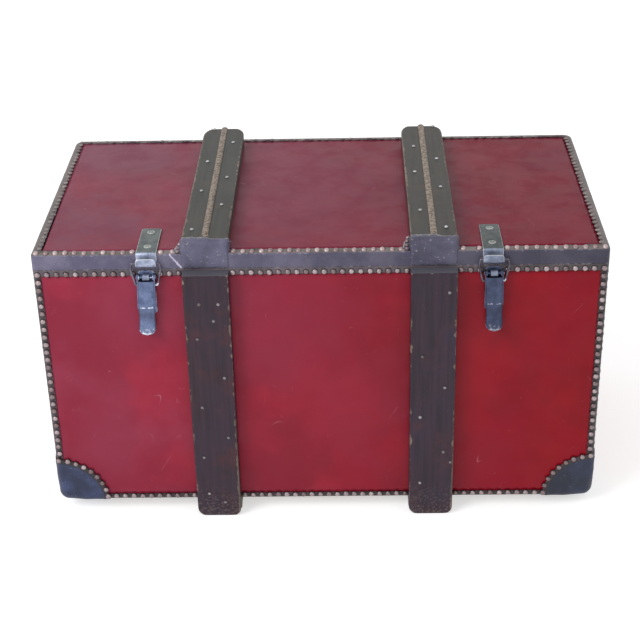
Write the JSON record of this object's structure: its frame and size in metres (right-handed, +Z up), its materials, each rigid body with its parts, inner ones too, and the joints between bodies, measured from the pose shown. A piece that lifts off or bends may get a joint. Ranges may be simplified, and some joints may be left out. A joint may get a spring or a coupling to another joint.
{
  "type": "travel trunk",
  "caption": "Flat-topped travel trunk: wooden box in red leatherette with dark leather bindings, wooden slats, a shallow hinged lid, lever latches and drop handles.",
  "frame": {"origin": "on the floor, under the middle of the trunk's bounding box; z = 0 is the runners' underside", "axes": "+X along the trunk's width to the viewer's right, -Y out of the front with the latches, +Z up"},
  "size_m": [0.882, 0.4786, 0.4753],
  "materials": {
    "red_leatherette": "semi-gloss, mottled and scuffed",
    "binding_leather": "dark, scuffed, satin",
    "patch_leather": "dark, satin",
    "slat_wood": "dark stain, worn to bare wood on the edges",
    "box_wood": "plain board, papered inside",
    "latch_steel": "dull, tarnished",
    "fitting_steel": "dull, tarnished",
    "handle_leather": "dark brown, worn"
  },
  "bodies": {
    "case": {"back_board": "box_wood", "back_cover": "red_leatherette", "back_slat_left": "slat_wood", "back_slat_right": "slat_wood", "bottom_binding": "binding_leather", "bottom_board": "box_wood", "corner_binding_back_left": "binding_leather", "corner_binding_back_right": "binding_leather", "corner_binding_front_left": "binding_leather", "corner_binding_front_right": "binding_leather", "corner_patch_back_left": "patch_leather", "corner_patch_back_right": "patch_leather", "corner_patch_front_left": "patch_leather", "corner_patch_front_right": "patch_leather", "dust_strip_back": "box_wood", "dust_strip_front": "box_wood", "dust_strip_left": "box_wood", "dust_strip_right": "box_wood", "front_board": "box_wood", "front_cover": "red_leatherette", "front_slat_left": "slat_wood", "front_slat_right": "slat_wood", "handle_bracket_left_back": "fitting_steel", "handle_bracket_left_front": "fitting_steel", "handle_bracket_right_back": "fitting_steel", "handle_bracket_right_front": "fitting_steel", "hinge_case_leaf_left": "fitting_steel", "hinge_case_leaf_right": "fitting_steel", "hinge_pin_left": "fitting_steel", "hinge_pin_right": "fitting_steel", "latch_base_left": "latch_steel", "latch_base_right": "latch_steel", "left_cover": "red_leatherette", "left_end_board": "box_wood", "right_cover": "red_leatherette", "right_end_board": "box_wood", "rim_binding": "binding_leather", "runner_left": "slat_wood", "runner_right": "slat_wood"},
    "lid": {"hasp_plate_left": "latch_steel", "hasp_plate_right": "latch_steel", "hinge_lid_leaf_left": "fitting_steel", "hinge_lid_leaf_right": "fitting_steel", "lid_binding": "binding_leather", "lid_board": "box_wood", "lid_cover": "red_leatherette", "lid_rail_back": "box_wood", "lid_rail_front": "box_wood", "lid_rail_left": "box_wood", "lid_rail_right": "box_wood", "lid_slat_left": "slat_wood", "lid_slat_right": "slat_wood", "slat_end_cover_left": "binding_leather", "slat_end_cover_right": "binding_leather"},
    "latch_lever_left": {"latch_lever_left": "latch_steel"},
    "latch_bail_left": {"latch_bail_left": "latch_steel"},
    "end_handle_left": {"end_handle_left": "handle_leather"},
    "latch_lever_right": {"latch_lever_right": "latch_steel"},
    "latch_bail_right": {"latch_bail_right": "latch_steel"},
    "end_handle_right": {"end_handle_right": "handle_leather"}
  },
  "joints": [
    {"name": "lid_hinge", "type": "hinge", "parent": "case", "child": "lid", "pos_m": [0, 0.2243, 0.429], "axis": [-1, 0, 0], "range_deg": [0, 100]},
    {"name": "lever_left_hinge", "type": "hinge", "parent": "case", "child": "latch_lever_left", "pos_m": [-0.2527, -0.2275, 0.419], "axis": [-1, 0, 0], "range_deg": [0, 110]},
    {"name": "bail_left_hinge", "type": "hinge", "parent": "latch_lever_left", "child": "latch_bail_left", "pos_m": [-0.2527, -0.2259, 0.406], "axis": [-1, 0, 0], "range_deg": [-86, 0]},
    {"name": "handle_left_hinge", "type": "hinge", "parent": "case", "child": "end_handle_left", "pos_m": [-0.432, 0, 0.268], "axis": [0, 1, 0], "range_deg": [0, 90]},
    {"name": "lever_right_hinge", "type": "hinge", "parent": "case", "child": "latch_lever_right", "pos_m": [0.2527, -0.2275, 0.419], "axis": [-1, 0, 0], "range_deg": [0, 110]},
    {"name": "bail_right_hinge", "type": "hinge", "parent": "latch_lever_right", "child": "latch_bail_right", "pos_m": [0.2527, -0.2259, 0.406], "axis": [-1, 0, 0], "range_deg": [-86, 0]},
    {"name": "handle_right_hinge", "type": "hinge", "parent": "case", "child": "end_handle_right", "pos_m": [0.432, 0, 0.268], "axis": [0, -1, 0], "range_deg": [0, 90]}
  ],
  "couplings": [
    {"joint": "bail_left_hinge", "follows": "lever_left_hinge", "ratio": -0.78},
    {"joint": "bail_right_hinge", "follows": "lever_right_hinge", "ratio": -0.78}
  ]
}
